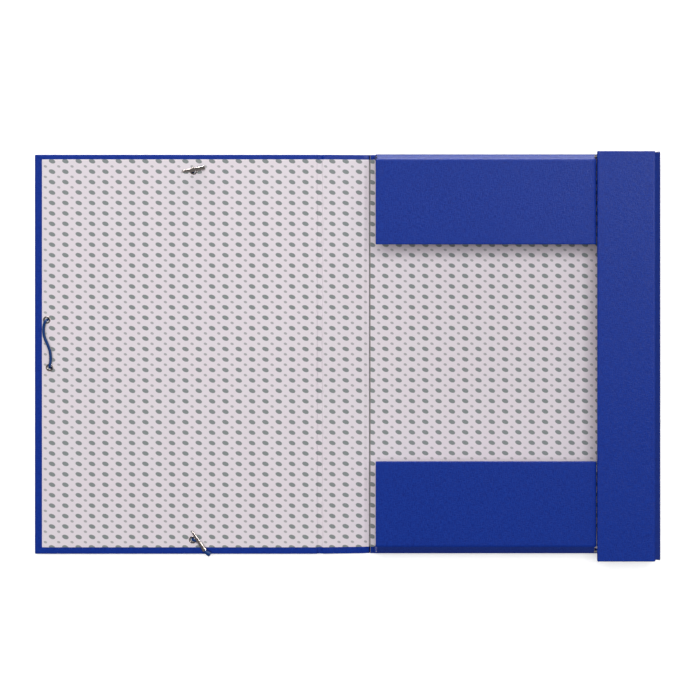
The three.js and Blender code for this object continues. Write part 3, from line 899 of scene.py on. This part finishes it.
def tag_section(x):
    """Width, height and opening of the folded strip at a place along the tag."""
    bar = 1 - smoothstep(-3.4, -2.0, x)
    crimp = smoothstep(1.6, 3.4, x)
    tip = smoothstep(-10.0, -6.5, x)
    squeeze = sum(math.exp(-((x - place) / 0.55) ** 2) for place in (4.3, 6.6))
    flare = smoothstep(8.2, 9.8, x)
    width = 2.3 + crimp * (1.15 - 0.35 * squeeze + 0.15 * flare) - bar * (1 - tip) * 1.1
    height = 0.75 + bar * (0.55 + 0.5 * tip) + crimp * (2.2 - 0.5 * squeeze - 0.25 * flare)
    opening = 80 + 35 * bar + 88 * crimp
    return width, height, math.radians(opening)


def add_tag(node, heading, spread, shift):
    """One strip of sheet metal, folded to a narrow bar at one end and crimped at the other.
    Its middle is spread open by some millimetres towards the eyelet under it, and the whole is
    shifted that way a little."""
    low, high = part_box(node)
    centre = (low + high) / 2 / MM
    top = high.z / MM
    metal, count = 0.35, 26
    along = Vector((math.cos(heading), math.sin(heading), 0))
    side = UP.cross(along)
    bm = bmesh.new()
    rings = []
    places = [-TAG_LENGTH / 2 + TAG_LENGTH * k / TAG_STEPS for k in range(TAG_STEPS + 1)]
    for x in places:
        width, height, opening = tag_section(x)
        opened = spread * math.exp(-((x + 0.6) / 2.6) ** 2)
        outer, inner = [], []
        for k in range(count + 1):
            angle = -opening + 2 * opening * k / count
            for scale, line in ((0.0, outer), (metal, inner)):
                across = math.copysign(abs(math.sin(angle)) ** 0.7, math.sin(angle)) * (width / 2 - scale)
                across -= shift + opened * (0.5 - math.sin(angle) / 2)
                upward = math.copysign(abs(math.cos(angle)) ** 0.7, math.cos(angle)) * (height / 2 - scale)
                place = centre + along * x + side * across
                line.append(bm.verts.new(Vector((place.x, place.y, top - height / 2 + upward)) * MM))
        rings.append(outer + inner[::-1])
    close_ring(bm, rings, closed=False)
    for ring in (rings[0], rings[-1]):
        for k in range(count):
            bm.faces.new((ring[k], ring[k + 1], ring[-2 - k], ring[-1 - k]))
    bmesh.ops.recalc_face_normals(bm, faces=bm.faces)
    mesh = bpy.data.meshes.new(node)
    bm.to_mesh(mesh)
    bm.free()
    piece = new_object(f"{node}_folded", mesh, NICKEL)
    shade(piece, 35.0)
    finish_piece(piece, [node], body=node)
    return piece


# ---------------------------------------------------------------- stage

def add_table():
    mesh = bpy.data.meshes.new("table_top")
    bm = bmesh.new()
    bmesh.ops.create_grid(bm, x_segments=8, y_segments=8, size=4.0)
    bm.to_mesh(mesh)
    bm.free()
    table = new_object("table_top", mesh, table_material())
    table.location.z = -0.0002
    table.visible_diffuse = False
    table.visible_glossy = False


def add_light(name, location, size, power, glossy=True, diffuse=True):
    data = bpy.data.lights.new(name, "AREA")
    data.shape = "RECTANGLE"
    data.size, data.size_y = size
    data.energy = power
    lamp = bpy.data.objects.new(name, data)
    lamp.location = location
    lamp.rotation_mode = "QUATERNION"
    lamp.rotation_quaternion = (Vector((-0.14, 0, 0)) - lamp.location).to_track_quat("-Z", "Y")
    lamp.visible_glossy = glossy
    lamp.visible_diffuse = diffuse
    bpy.context.scene.collection.objects.link(lamp)


def light_studio():
    """Two soft lights, overhead and low at the head, shade the surfaces. Two more, low at the head
    and at the upper right, show only in the gloss."""
    world = bpy.data.worlds.new("studio")
    world.use_nodes = True
    background = world.node_tree.nodes["Background"]
    background.inputs["Color"].default_value = (1.0, 1.0, 1.0, 1)
    background.inputs["Strength"].default_value = 0.2
    bpy.context.scene.world = world
    bpy.context.scene.view_settings.view_transform = "Standard"
    add_light("overhead", (-0.2, 0.58, 2.45), (1.8, 1.5), 52.0, glossy=False)
    add_light("head_window", (-0.1, 2.5, 0.3), (3.0, 0.5), 45.0, glossy=False)
    add_light("head_gleam", (-0.1, 2.5, 0.4), (3.0, 0.8), 150.0, diffuse=False)
    add_light("glow", (1.6, 0.9, 2.3), (0.9, 0.9), 48.0, diffuse=False)


# ---------------------------------------------------------------- everything

make_camera()
LINEN = linen_material()
PRINTED = printed_material()
NICKEL = nickel_material()
ELASTIC = elastic_material()
GREYBOARD = greyboard_material()

elastic, elastic_path = add_elastic("elastic_braid", CORD_ROUTE)
upper_end, _ = add_elastic("upper_cord_end_braid", UPPER_END_ROUTE)
lower_end, _ = add_elastic("lower_cord_end_braid", LOWER_END_ROUTE, frayed=True)
finish_piece(elastic, ["elastic_cord"], body="cover")
finish_piece(upper_end, ["upper_cord_end"], body="upper_tag")
finish_piece(lower_end, ["lower_cord_end"], body="lower_tag")
tags = [add_tag("upper_tag", 0.18, 1.0, 0.8), add_tag("lower_tag", -0.9879, 0.5, 0.0)]

for eyelet in EYELETS:
    add_eyelet(eyelet)
add_case()
floor_end = node_span("fore_flap_tongue", EAST)[0]
add_flap("top", -NORTH, (-floor_end, NO_LIMIT))
add_flap("bottom", NORTH, (-NO_LIMIT, floor_end))
add_flap("fore", -EAST, FORE_TONGUE_LIMITS)
for node, shown in frame["nodes"].items():
    if node.endswith("_board"):
        shown.data.materials.clear()
        shown.data.materials.append(GREYBOARD)

add_table()
light_studio()
